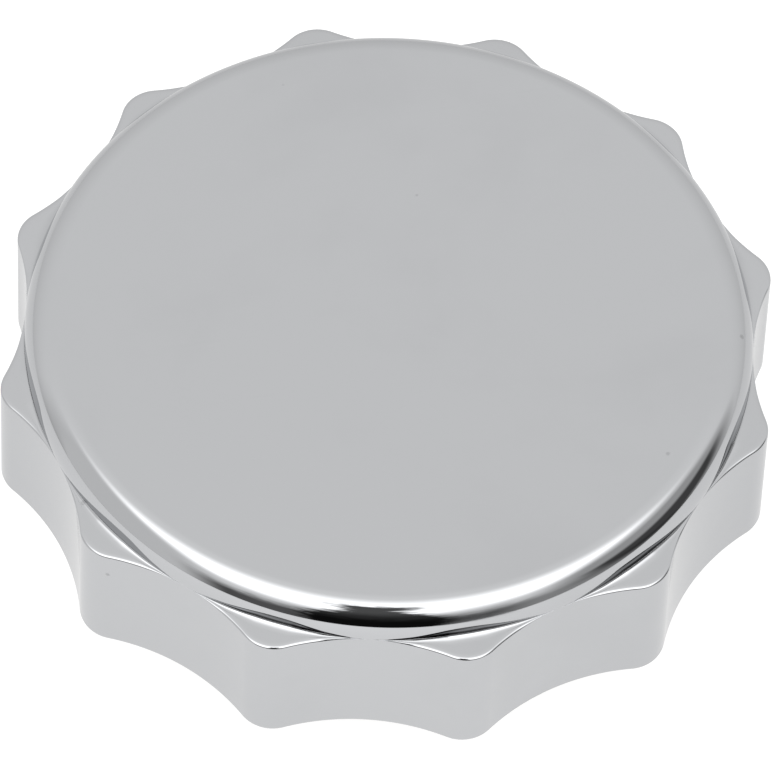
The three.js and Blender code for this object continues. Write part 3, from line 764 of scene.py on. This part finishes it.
# ---------------------------------------------------------------- valves
class BuildValves(bpy.types.Operator):
    """Models the valve cover, both valves, their seals, springs, clip and screws"""

    bl_idname = "fillcap.valves"
    bl_label = "Valve cover, valves and springs"

    def execute(self, context):
        brass, steel, black = pressed_brass(context), spring_steel(context), rubber(context)
        # cover: a dished plate with a boss that centres the spring
        outer, low, high = reach("valve_cover")
        plate_low = high - 1.5 * MM
        profile = [(0, plate_low + 0.2 * MM), (4 * MM, plate_low), (8.9 * MM, plate_low), (8.9 * MM, low),
                   (10.5 * MM, low), (10.5 * MM, plate_low), (outer, plate_low), (outer, high),
                   (17.0 * MM, high), (16.4 * MM, high - 0.35 * MM), (9.6 * MM, high - 0.35 * MM),
                   (9.0 * MM, high), (3.4 * MM, high), (2.6 * MM, high - 0.3 * MM), (0, high - 0.3 * MM)]
        cover = lathe("cover", soften(profile, 0.2 * MM, closed=False), 96)
        cut(
            cover,
            drills(1.6 * MM, plate_low, high, placed(6.4 * MM, 6), flare=0.12 * MM),
            drills(1.5 * MM, plate_low - MM, high + MM, placed(SCREW_CIRCLE, 3)),
        )
        finish(cover, brass, "valve_brass", "closure", "valve_cover", angle=CRISP)

        # screws: pan heads with a six-sided socket
        _, low, high = reach("cover_screw_1")
        neck, crest, root = high - 1.4 * MM, 1.2 * MM, 1.02 * MM
        thread = []
        z = low + 0.3 * MM
        while z < neck - 0.7 * MM:
            thread += [(crest, z), (crest, z + 0.08 * MM), (root, z + 0.22 * MM), (root, z + 0.28 * MM)]
            z += 0.42 * MM
        head = [(1.15 * MM, neck), (2.1 * MM, neck), (2.1 * MM, neck + 0.7 * MM), (1.7 * MM, high - 0.2 * MM),
                (1.2 * MM, high), (0, high)]
        profile = [(0, low), (0.9 * MM, low), *thread, *soften(head, 0.12 * MM, closed=False)]
        screw = lathe("screw", profile, 32)
        cut(screw, drills(0.85 * MM, high - 0.8 * MM, high + MM, [(0, 0)], sides=6))
        for i, (x, y) in enumerate(placed(SCREW_CIRCLE, 3)):
            one = copy_of(screw, f"socket_screw_{i + 1}", at=(x, y, 0))
            finish(one, steel, "fastener_steel", "closure", f"cover_screw_{i + 1}", weighted=False)
        bpy.data.objects.remove(screw)

        # pressure valve: a plate stiffened by a rib, on a flat seal
        outer, low, high = reach("pressure_valve")
        dish = high - 0.3 * MM
        profile = [(1.7 * MM, low), (outer, low), (outer, high), (13.6 * MM, high), (13.2 * MM, dish),
                   (9.8 * MM, dish), (9.4 * MM, high), (8.0 * MM, high), (7.6 * MM, dish),
                   (4.6 * MM, dish), (4.2 * MM, high), (1.7 * MM, high)]
        disc = lathe("pressure_plate", soften(profile, 0.18 * MM), 96)
        cut(disc, drills(1.1 * MM, low, high, placed(5.1 * MM, 6), flare=0.1 * MM))
        finish(disc, brass, "valve_brass", "pressure_poppet", "pressure_valve", angle=CRISP)
        _, low, high = reach("pressure_seal")
        seal = ring("pressure_ring", 9.6 * MM, 14.2 * MM, low, high, edge=0.3 * MM)
        finish(seal, black, "gasket_rubber", "pressure_poppet", "pressure_seal")
        low, high, travel = 12.5 * MM, 21.6 * MM, 2.5 * MM
        spring = coil("pressure_coil", 11.5 * MM, 0.68 * MM, low, high, 3)
        finish(spring, steel, "spring_steel", "closure", "pressure_spring", weighted=False)
        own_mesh(spring)

        # vacuum valve: a disc on a stem, held up by its own spring and clip
        outer, low, high = reach("vacuum_valve")
        disc_top, stem, neck, neck_low, neck_high = 9 * MM, 1.4 * MM, MM, 16.9 * MM, 18.3 * MM
        profile = [(0, low), (outer, low), (outer, disc_top), (3.2 * MM, disc_top),
                   (stem, disc_top + 0.2 * MM), (stem, neck_low), (neck, neck_low), (neck, neck_high),
                   (stem, neck_high), (stem, high - 0.2 * MM), (0.9 * MM, high), (0, high)]
        valve = lathe("vacuum_stem", soften(profile, 0.12 * MM, closed=False), 64)
        finish(valve, brass, "valve_brass", "vacuum_poppet", "vacuum_valve")
        _, low, high = reach("vacuum_seal")
        seal = ring("vacuum_ring", 2 * MM, 7.2 * MM, low, high, edge=0.3 * MM, steps=64)
        finish(seal, black, "gasket_rubber", "vacuum_poppet", "vacuum_seal")
        low, high, travel = 12.5 * MM, neck_low, 1.5 * MM
        spring = coil("vacuum_coil", 3 * MM, 0.33 * MM, low, high, 3, steps=32)
        finish(spring, steel, "spring_steel", "pressure_poppet", "vacuum_spring", weighted=False)
        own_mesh(spring)
        _, low, high = reach("stem_clip")
        outside = [polar(4 * MM, radians(25 + 310 * i / 40)) for i in range(41)]
        inside = [polar(1.3 * MM, radians(335 - 310 * i / 16)) for i in range(17)]
        clip = plate("stem_keeper", [*outside, *inside, outside[0]], low, high, edge=0.1 * MM)
        notches = [polar(2.7 * MM, radians(a)) for a in (90, 180, 270)]
        cut(clip, drills(0.8 * MM, low - MM, high + MM, notches, sides=16))
        finish(clip, steel, "spring_steel", "vacuum_poppet", "stem_clip")
        return {"FINISHED"}


class BuildBaffle(bpy.types.Operator):
    """Models the splash baffle and its snap ring"""

    bl_idname = "fillcap.baffle"
    bl_label = "Splash baffle"

    def execute(self, context):
        outer, low, high = reach("splash_baffle")
        dimple, crown = low + 0.25 * MM, high - 0.05 * MM
        profile = [(0, dimple), (2.4 * MM, dimple), (3.4 * MM, low), (outer, low), (outer, high),
                   (3.6 * MM, high), (2.6 * MM, crown), (0, crown)]
        baffle = lathe("baffle", soften(profile, 0.15 * MM, closed=False), 96)
        cut(
            baffle,
            drills(1.5 * MM, low, high, placed(5.5 * MM, 6), flare=0.1 * MM),
            drills(1.5 * MM, low, high, placed(10.5 * MM, 12), flare=0.1 * MM),
        )
        finish(baffle, stainless(context), "baffle_steel", "closure", "splash_baffle", angle=CRISP)
        _, low, high = reach("baffle_ring")
        inner, outer = 17 * MM, 19.1 * MM
        angles = [radians(12 + 336 * i / 100) for i in range(101)]
        band = [polar(outer, a) for a in angles] + [polar(inner, a) for a in reversed(angles)]
        eyes = [circle(0.6 * MM, 14, polar(18.0 * MM, radians(a))) for a in (16, 344)]
        snap = plate("snap_ring", [*band, band[0]], low, high, holes=eyes, edge=0.12 * MM)
        finish(snap, spring_steel(context), "spring_steel", "closure", "baffle_ring")
        return {"FINISHED"}


# ---------------------------------------------------------------- finishes
def made(name):
    """A finish that is already made, or None."""
    return bpy.data.materials.get(name)


def nodes_of(name):
    """A new material, its node tree, and its Principled shader."""
    material = bpy.data.materials.new(name)
    material.use_nodes = True
    tree = material.node_tree
    return material, tree, tree.nodes["Principled BSDF"]


class Bench:
    """Shorthand for placing and joining nodes in one tree."""

    def __init__(self, tree):
        self.tree = tree

    def node(self, kind, inputs=None, **fields):
        node = self.tree.nodes.new(kind)
        for field, value in fields.items():
            setattr(node, field, value)
        for name, value in (inputs or {}).items():
            self.feed(node.inputs[name], value)
        return node

    def feed(self, socket, value):
        if isinstance(value, bpy.types.NodeSocket):
            self.tree.links.new(value, socket)
        elif value is not None:
            socket.default_value = value

    def maths(self, operation, a, b=None, c=None, clamp=False):
        node = self.node("ShaderNodeMath", operation=operation, use_clamp=clamp)
        for socket, value in zip(node.inputs, (a, b, c)):
            self.feed(socket, value)
        return node.outputs[0]

    def span(self, value, low, high, to_low=0.0, to_high=1.0, kind="SMOOTHSTEP"):
        """A value carried from one range to another, and held at its ends."""
        node = self.node("ShaderNodeMapRange", interpolation_type=kind)
        for socket, number in zip(node.inputs[:5], (value, low, high, to_low, to_high)):
            self.feed(socket, number)
        return node.outputs[0]

    def noise(self, vector, scale, detail=3.0, roughness=0.5, distortion=0.0):
        values = {"Vector": vector, "Scale": scale, "Detail": detail}
        values |= {"Roughness": roughness, "Distortion": distortion}
        node = self.node("ShaderNodeTexNoise", values)
        return node.outputs["Fac"]

    def blend(self, factor, first, second):
        node = self.node("ShaderNodeMix", data_type="RGBA")
        for socket, value in zip((node.inputs[0], node.inputs[6], node.inputs[7]), (factor, first, second)):
            self.feed(socket, value)
        return node.outputs[2]


def group(name, inputs, outputs, build):
    """A shared effect, built once. inputs and outputs are (name, kind, default)."""
    tree = bpy.data.node_groups.get(name)
    if tree:
        return tree
    tree = bpy.data.node_groups.new(name, "ShaderNodeTree")
    for label, kind, default in inputs:
        socket = tree.interface.new_socket(label, in_out="INPUT", socket_type="NodeSocket" + kind)
        if default is not None:
            socket.default_value = default
    for label, kind in outputs:
        tree.interface.new_socket(label, in_out="OUTPUT", socket_type="NodeSocket" + kind)
    bench = Bench(tree)
    start, stop = bench.node("NodeGroupInput"), bench.node("NodeGroupOutput")
    for label, value in build(bench, start.outputs).items():
        bench.feed(stop.inputs[label], value)
    return tree


def placed_group(bench, tree, inputs):
    """A shared effect placed in a material with its own values."""
    node = bench.node("ShaderNodeGroup", node_tree=tree)
    for label, value in inputs.items():
        bench.feed(node.inputs[label], value)
    return node.outputs


def rub_marks():
    """Haze left by hands and polishing cloths, fine scratches, and specks."""

    def build(bench, given):
        at = given["Vector"]
        broad = bench.noise(at, 28.0, 4.0, 0.55, 0.6)
        fine = bench.noise(at, 160.0, 3.0, 0.6)
        haze = bench.span(bench.maths("ADD", broad, bench.maths("MULTIPLY", fine, 0.25)), 0.56, 0.86)
        # scratches: thin bright bands of stretched noise, in two directions
        lines = []
        for turn, seed in ((0.5, 0.0), (2.1, 3.0)):
            values = {"Vector": at, "Rotation": (0, 0, turn), "Location": (seed, 0, 0)}
            values["Scale"] = (14.0, 900.0, 14.0)
            mapped = bench.node("ShaderNodeMapping", values).outputs[0]
            lines.append(bench.span(bench.noise(mapped, 1.0, 1.0, 0.4), 0.735, 0.77))
        scratch = bench.maths("MAXIMUM", *lines)
        patches = bench.span(bench.noise(at, 45.0, 1.0), 0.5, 0.62)
        scratch = bench.maths("MULTIPLY", scratch, patches)
        cells = bench.node("ShaderNodeTexVoronoi", {"Vector": at, "Scale": 170.0}, feature="F1")
        small = bench.span(cells.outputs["Distance"], 0.03, 0.06, 1.0, 0.0)
        drawn_lot = bench.node("ShaderNodeSeparateColor", {"Color": cells.outputs["Color"]}).outputs["Red"]
        chosen = bench.maths("LESS_THAN", drawn_lot, given["Specks"])
        return {"Haze": haze, "Scratches": scratch, "Specks": bench.maths("MULTIPLY", small, chosen)}

    return group("rub marks", [("Vector", "Vector", None), ("Specks", "Float", 0.06)],
                 [("Haze", "Float"), ("Scratches", "Float"), ("Specks", "Float")], build)


def tool_marks():
    """Rings left by a lathe tool, about the cap's axis on faces and along it on sides."""

    def build(bench, given):
        at = bench.node("ShaderNodeSeparateXYZ", {"Vector": given["Vector"]}).outputs
        flat = bench.node("ShaderNodeCombineXYZ", {"X": at["X"], "Y": at["Y"], "Z": 0.0}).outputs[0]
        radius = bench.node("ShaderNodeVectorMath", {0: flat}, operation="LENGTH").outputs["Value"]
        along = bench.maths("ADD", radius, at["Z"])
        wobble = bench.maths("MULTIPLY", bench.noise(given["Vector"], 60.0, 2.0), given["Pitch"])
        turns = bench.maths("DIVIDE", bench.maths("ADD", along, wobble), given["Pitch"])
        count = bench.node("ShaderNodeCombineXYZ", {"X": turns, "Y": 0.0, "Z": 0.0}).outputs[0]
        fine = bench.noise(count, 1.0, 2.0)
        wave = bench.maths("SINE", bench.maths("MULTIPLY", turns, TURN))
        marks = bench.maths("ADD", bench.maths("MULTIPLY", wave, 0.25), fine)
        return {"Marks": marks}

    inputs = [("Vector", "Vector", None), ("Pitch", "Float", 0.0003)]
    return group("tool marks", inputs, [("Marks", "Float")], build)


def edge_wear_and_corner_shade():
    """A mask of edges that handling has rubbed, and a painted-shade mask of corners and recesses, found by
    ambient occlusion.
    """

    def build(bench, given):
        flat = bench.node("ShaderNodeNewGeometry").outputs["Normal"]
        rounded = bench.node("ShaderNodeBevel", {"Radius": 0.2 * MM}, samples=4).outputs[0]
        # the two normals agree on a face, and part where it turns into another
        agree = bench.node("ShaderNodeVectorMath", {0: flat, 1: rounded}, operation="DOT_PRODUCT")
        broken = bench.span(bench.noise(given["Vector"], 420.0, 2.0), 0.3, 0.6)
        edges = bench.maths("MULTIPLY", bench.span(agree.outputs["Value"], 0.985, 0.9), broken)
        # painted shade: ambient occlusion of the piece's own shape marks its corners and recesses
        recess = bench.node("ShaderNodeAmbientOcclusion", {"Distance": 0.8 * MM}, samples=4, only_local=True)
        return {"Edges": edges, "Corner shade": bench.span(recess.outputs["AO"], 0.6, 0.25)}

    outputs = [("Edges", "Float"), ("Corner shade", "Float")]
    return group("edge wear and corner shade", [("Vector", "Vector", None)], outputs, build)


def grain():
    """Fine grain and slow mottling."""

    def build(bench, given):
        broad = bench.maths("MULTIPLY", given["Scale"], 0.07)
        return {
            "Grain": bench.noise(given["Vector"], given["Scale"], 4.0, 0.6),
            "Mottle": bench.noise(given["Vector"], broad, 3.0, 0.5, 0.4),
        }

    return group("grain", [("Vector", "Vector", None), ("Scale", "Float", 2000.0)],
                 [("Grain", "Float"), ("Mottle", "Float")], build)


def chrome(context):
    """Bright chrome plate: a near-perfect mirror with a slight swell, haze, rubs and specks."""
    material, tree, shader = nodes_of("chrome")
    bench = Bench(tree)
    at = bench.node("ShaderNodeTexCoord").outputs["Object"]
    across = bench.node("ShaderNodeVectorMath", {0: at, 1: (1, 1, 0)}, operation="MULTIPLY").outputs[0]
    radius = bench.node("ShaderNodeVectorMath", {0: across}, operation="LENGTH").outputs["Value"]
    specks = bench.span(radius, 29 * MM, 35 * MM, 0.05, 0.3)
    marks = placed_group(bench, rub_marks(), {"Vector": at, "Specks": specks})
    base = context.scene.fill_cap_colours.chrome
    dull = tuple(c * 0.955 for c in base)
    dark = tuple(c * 0.72 for c in base)
    colour = bench.blend(bench.maths("MULTIPLY", marks["Haze"], 0.8), (*base, 1), (*dull, 1))
    colour = bench.blend(bench.maths("MULTIPLY", marks["Specks"], 0.75), colour, (*dark, 1))
    bench.feed(shader.inputs["Base Color"], colour)
    shader.inputs["Metallic"].default_value = 1
    rough = bench.maths("MULTIPLY_ADD", marks["Haze"], 0.05, 0.035)
    rough = bench.maths("MULTIPLY_ADD", marks["Scratches"], 0.08, rough)
    rough = bench.maths("MULTIPLY_ADD", marks["Specks"], 0.25, rough)
    bench.feed(shader.inputs["Roughness"], rough)
    swell = bench.noise(at, 75.0, 2.0, 0.5)
    height = bench.maths("MULTIPLY_ADD", marks["Scratches"], -0.012, bench.maths("MULTIPLY", swell, 0.5))
    height = bench.maths("MULTIPLY_ADD", marks["Specks"], -0.03, height)
    bump = bench.node("ShaderNodeBump", {"Strength": 0.5, "Distance": 0.00008, "Height": height})
    bench.feed(shader.inputs["Normal"], bump.outputs[0])
    return material


def metal(name, colour, dark, rough, pitch, mark_rough=0.12, mark_height=0.3, edge=None, stain=0.5):
    """A machined or pressed metal: tool marks, mottled tarnish, bright worn edges, and corners darkened by
    painted shade.
    """
    if made(name):
        return made(name)
    material, tree, shader = nodes_of(name)
    bench = Bench(tree)
    at = bench.node("ShaderNodeTexCoord").outputs["Object"]
    lines = placed_group(bench, tool_marks(), {"Vector": at, "Pitch": pitch})["Marks"]
    speckle = placed_group(bench, grain(), {"Vector": at, "Scale": 1600.0})
    wear_and_shade = placed_group(bench, edge_wear_and_corner_shade(), {"Vector": at})
    marks = placed_group(bench, rub_marks(), {"Vector": at})
    tarnish = bench.maths("MULTIPLY", bench.span(speckle["Mottle"], 0.38, 0.72), stain)
    mixed = bench.blend(tarnish, (*colour, 1), (*dark, 1))
    # painted shade: corners and recesses that ambient occlusion finds are darkened
    mixed = bench.blend(bench.maths("MULTIPLY", wear_and_shade["Corner shade"], 0.7), mixed, (*(c * 0.55 for c in dark), 1))
    bright = edge or tuple(min(c * 1.15, 1) for c in colour)
    mixed = bench.blend(bench.maths("MULTIPLY", wear_and_shade["Edges"], 0.6), mixed, (*bright, 1))
    bench.feed(shader.inputs["Base Color"], mixed)
    shader.inputs["Metallic"].default_value = 1
    value = bench.maths("MULTIPLY_ADD", bench.maths("SUBTRACT", lines, 0.5), mark_rough, rough)
    value = bench.maths("MULTIPLY_ADD", tarnish, 0.12, value)
    value = bench.maths("MULTIPLY_ADD", wear_and_shade["Edges"], -0.08, value)
    value = bench.maths("MULTIPLY_ADD", marks["Scratches"], 0.1, value, clamp=True)
    bench.feed(shader.inputs["Roughness"], value)
    height = bench.maths("MULTIPLY_ADD", speckle["Grain"], 0.25, bench.maths("MULTIPLY", lines, mark_height))
    bump = bench.node("ShaderNodeBump", {"Strength": 0.35, "Distance": 0.00004, "Height": height})
    bench.feed(shader.inputs["Normal"], bump.outputs[0])
    return material


def turned_brass(context):
    """Turned brass of the closure, with tool marks and a little tarnish."""
    colour = tuple(context.scene.fill_cap_colours.brass)
    return metal("turned brass", colour, (0.50, 0.34, 0.15), 0.26, 0.00042)


def pressed_brass(context):
    """Brass of the valves and their cover, tumbled to a satin finish."""
    return metal("valve brass", (0.76, 0.57, 0.29), (0.58, 0.40, 0.19), 0.32, 0.0002, mark_rough=0.06,
                 mark_height=0.12)


def sintered(context):
    """Hardened ratchet steel, oiled, its corners darkened by painted shade."""
    return metal("ratchet steel", (0.42, 0.41, 0.40), (0.24, 0.23, 0.22), 0.36, 0.0005, mark_rough=0.04,
                 mark_height=0.06, edge=(0.66, 0.65, 0.64))


def spring_steel(context):
    """Bright spring and fastener steel."""
    return metal("spring steel", (0.56, 0.56, 0.57), (0.36, 0.35, 0.35), 0.24, 0.0003, mark_rough=0.05,
                 mark_height=0.08, stain=0.35)


def stainless(context):
    """Brushed stainless sheet of the baffle."""
    return metal("stainless sheet", (0.60, 0.60, 0.60), (0.45, 0.44, 0.43), 0.3, 0.00025, mark_rough=0.16,
                 mark_height=0.2, stain=0.3)


def soft_stuff(name, colour, pale, rough, grain_scale, height):
    """Moulded rubber or nylon: fine grain, slow mottling, a film of dust and paler edges."""
    if made(name):
        return made(name)
    material, tree, shader = nodes_of(name)
    bench = Bench(tree)
    at = bench.node("ShaderNodeTexCoord").outputs["Object"]
    speckle = placed_group(bench, grain(), {"Vector": at, "Scale": grain_scale})
    wear_and_shade = placed_group(bench, edge_wear_and_corner_shade(), {"Vector": at})
    film = bench.maths("MULTIPLY", bench.span(speckle["Mottle"], 0.42, 0.75), 0.6)
    mixed = bench.blend(film, (*colour, 1), (*pale, 1))
    rubbed = (*(min(c * 1.5, 1) for c in pale), 1)
    mixed = bench.blend(bench.maths("MULTIPLY", wear_and_shade["Edges"], 0.5), mixed, rubbed)
    bench.feed(shader.inputs["Base Color"], mixed)
    value = bench.maths("MULTIPLY_ADD", speckle["Grain"], 0.25, rough, clamp=True)
    bench.feed(shader.inputs["Roughness"], value)
    bump = bench.node("ShaderNodeBump", {"Strength": 0.4, "Distance": height, "Height": speckle["Grain"]})
    bench.feed(shader.inputs["Normal"], bump.outputs[0])
    return material


def rubber(context):
    """Black nitrile of the gasket and seals."""
    return soft_stuff("nitrile rubber", (0.018, 0.018, 0.019), (0.05, 0.05, 0.05), 0.5, 1500.0, 0.00006)


def nylon(context):
    """Natural nylon of the slip washer."""
    return soft_stuff("nylon", (0.62, 0.60, 0.54), (0.70, 0.68, 0.62), 0.3, 1100.0, 0.00003)


# ---------------------------------------------------------------- stage
def sky(tree, turn):
    """A studio seen by direction: a softbox overhead, pale walls, and a dark room behind the camera."""
    tree.nodes.clear()
    bench = Bench(tree)
    maths, span = bench.maths, bench.span
    direction = bench.node("ShaderNodeTexCoord").outputs["Generated"]

    def along(way):
        node = bench.node("ShaderNodeVectorMath", {0: direction, 1: way}, operation="DOT_PRODUCT")
        return node.outputs["Value"]

    def at(across, toward, up):
        return tuple(across * a + toward * b + up * c for a, b, c in zip(side, front, (0, 0, 1)))

    front = (sin(turn), -cos(turn), 0)
    side = (cos(turn), sin(turn), 0)
    across, toward, up = along(side), along(front), along((0, 0, 1))
    # 0 at the back horizon, 0.5 overhead, 1 at the front horizon
    over = maths("DIVIDE", maths("ARCTAN2", up, maths("MULTIPLY", toward, -1.0)), pi)
    wobble = maths("MULTIPLY", maths("SUBTRACT", bench.noise(direction, 11.0, 5.0, 0.65), 0.5), 0.24)
    rough_over = maths("ADD", over, maths("MULTIPLY", wobble, 0.4))
    far_side = maths("ABSOLUTE", across)

    # pale walls and ceiling, a little darker to both sides
    walls = maths("ADD", span(over, 0.0, 0.3, 0.745, 0.905, "LINEAR"), span(over, 0.3, 0.46, 0.0, 0.12))
    dim = maths("MULTIPLY", span(far_side, 0.5, 0.72), span(toward, -0.38, -0.12))
    walls = maths("MULTIPLY", walls, maths("MULTIPLY_ADD", dim, -0.24, 1.0))
    # the dark room behind the camera, left open to the left and half open to the right
    room = span(rough_over, 0.73, 0.9)
    room = maths("MULTIPLY", room, span(across, -0.8, -0.6))
    room = maths("MULTIPLY", room, span(across, 0.45, 0.7, 1.0, 0.62))
    light = maths("MULTIPLY", walls, maths("MULTIPLY_ADD", room, -0.88, 1.0))
    # a dark panel at the right, with a dim edge
    panel = along(at(0.911, 0.152, 0.385))
    dim = maths("MULTIPLY", span(panel, 0.83, 0.93), span(up, 0.78, 0.66))
    light = maths("MULTIPLY", light, maths("MULTIPLY_ADD", dim, -0.4, 1.0))
    dim = maths("MULTIPLY", span(panel, 0.9, 0.96), span(up, 0.52, 0.38))
    light = maths("MULTIPLY", light, maths("MULTIPLY_ADD", dim, -0.84, 1.0))
    # the softbox, whose back edge is bowed
    bowed = maths("MULTIPLY_ADD", maths("MULTIPLY", across, across), 0.2, over)
    box = maths("MULTIPLY", span(bowed, 0.43, 0.58), span(bowed, 0.69, 0.8, 1.0, 0.0))
    box = maths("MULTIPLY", box, span(far_side, 0.48, 0.65, 1.0, 0.0))
    light = maths("MULTIPLY_ADD", box, 1.2, light)
    # the camera on its stand, wider below
    off_centre = maths("ABSOLUTE", maths("ADD", across, wobble))
    stand = maths("SUBTRACT", off_centre, span(over, 0.68, 0.86, 0.0, 0.2))
    stand = maths("MULTIPLY", span(stand, 0.06, 0.16, 1.0, 0.0), span(rough_over, 0.575, 0.6))
    light = maths("MULTIPLY", light, maths("MULTIPLY_ADD", stand, -0.95, 1.0))

    seen = bench.node("ShaderNodeBackground", {"Color": (1, 1, 1, 1), "Strength": 1.05})
    lit = bench.node("ShaderNodeBackground", {"Color": (1, 1, 1, 1), "Strength": light})
    camera_ray = bench.node("ShaderNodeLightPath").outputs["Is Camera Ray"]
    mix = bench.node("ShaderNodeMixShader", {0: camera_ray, 1: lit.outputs[0], 2: seen.outputs[0]})
    bench.node("ShaderNodeOutputWorld", {"Surface": mix.outputs[0]})


def light_table(turn):
    """The pale floor: glows softly, more so towards the front, and is clear from below."""
    material, tree, shader = nodes_of("light table")
    bench = Bench(tree)
    at = bench.node("ShaderNodeTexCoord").outputs["Object"]
    away = bench.node("ShaderNodeVectorMath", {0: at}, operation="LENGTH").outputs["Value"]
    front = (sin(turn), -cos(turn), 0)
    ahead = bench.node("ShaderNodeVectorMath", {0: at, 1: front}, operation="DOT_PRODUCT")
    ahead = bench.maths("DIVIDE", ahead.outputs["Value"], bench.maths("ADD", away, 0.03))
    glow = bench.maths("MULTIPLY_ADD", ahead, 0.17, bench.span(away, 0.1, 1.2, 0.67, 0.58))
    camera_ray = bench.node("ShaderNodeLightPath").outputs["Is Camera Ray"]
    glow = bench.maths("MAXIMUM", glow, bench.maths("MULTIPLY", camera_ray, 0.94))
    bench.feed(shader.inputs["Emission Strength"], glow)
    shader.inputs["Base Color"].default_value = (0.25, 0.25, 0.25, 1)
    shader.inputs["Roughness"].default_value = 0.9
    shader.inputs["Specular IOR Level"].default_value = 0.2
    shader.inputs["Emission Color"].default_value = (1, 1, 1, 1)
    clear = bench.node("ShaderNodeBsdfTransparent")
    below = bench.node("ShaderNodeNewGeometry").outputs["Backfacing"]
    mix = bench.node("ShaderNodeMixShader", {0: below, 1: shader.outputs[0], 2: clear.outputs[0]})
    bench.feed(tree.nodes["Material Output"].inputs["Surface"], mix.outputs[0])
    return material


class BuildStage(bpy.types.Operator):
    """Sets the floor, the studio light and the camera"""

    bl_idname = "fillcap.stage"
    bl_label = "Stage"

    def execute(self, context):
        scene = context.scene
        stage = scene.fill_cap_stage
        pick()
        bpy.ops.mesh.primitive_circle_add(vertices=96, radius=2.5, fill_type="NGON")
        floor = context.object
        floor.name = floor.data.name = "floor"
        floor.data.materials.append(light_table(stage.turn))
        world = bpy.data.worlds.new("studio")
        world.use_nodes = True
        scene.world = world
        sky(world.node_tree, stage.turn)
        level = cos(stage.rise)
        back = Vector((sin(stage.turn) * level, -cos(stage.turn) * level, sin(stage.rise)))
        facing = back.to_track_quat("Z", "Y").to_matrix() @ Matrix.Rotation(stage.roll, 3, "Z")
        middle, shift = Vector((0, 0, 16.92 * MM)), Vector((-0.071 * MM, 0.167 * MM, 0))
        aim = middle + facing @ shift
        pick()
        bpy.ops.object.camera_add(location=aim + back * stage.distance, rotation=facing.to_euler())
        camera = context.object
        camera.name = "camera"
        camera.data.lens = stage.lens
        camera.data.sensor_width = 36
        camera.data.clip_start = 0.01
        scene.camera = camera
        scene.view_settings.view_transform = "Standard"
        return {"FINISHED"}


# ---------------------------------------------------------------- add-on
GROUPS = {"shell": ShellSizes, "ratchet": RatchetSizes, "colours": FinishColours, "stage": StageSizes}
OPERATORS = [BuildShell, BuildRings, BuildClosure, BuildPawls, BuildValves, BuildBaffle, BuildStage]


class FillCapPanel(bpy.types.Panel):
    """Lists the cap's pieces in the order they are made"""

    bl_idname = "VIEW3D_PT_fill_cap"
    bl_label = "Deck Fill Cap"
    bl_space_type = "VIEW_3D"
    bl_region_type = "UI"
    bl_category = "Fill Cap"

    def draw(self, context):
        for operator in OPERATORS:
            self.layout.operator(operator.bl_idname)
        for name, group in GROUPS.items():
            box = self.layout.box()
            for field in group.__annotations__:
                box.prop(getattr(context.scene, "fill_cap_" + name), field)


def register():
    for cls in [*GROUPS.values(), *OPERATORS, FillCapPanel]:
        bpy.utils.register_class(cls)
    for name, group in GROUPS.items():
        setattr(bpy.types.Scene, "fill_cap_" + name, bpy.props.PointerProperty(type=group))


def unregister():
    for name in GROUPS:
        delattr(bpy.types.Scene, "fill_cap_" + name)
    for cls in reversed([*GROUPS.values(), *OPERATORS, FillCapPanel]):
        bpy.utils.unregister_class(cls)


def main():
    register()
    for operator in OPERATORS:
        group, name = operator.bl_idname.split(".")
        getattr(getattr(bpy.ops, group), name)()


if __name__ == "__main__":
    main()
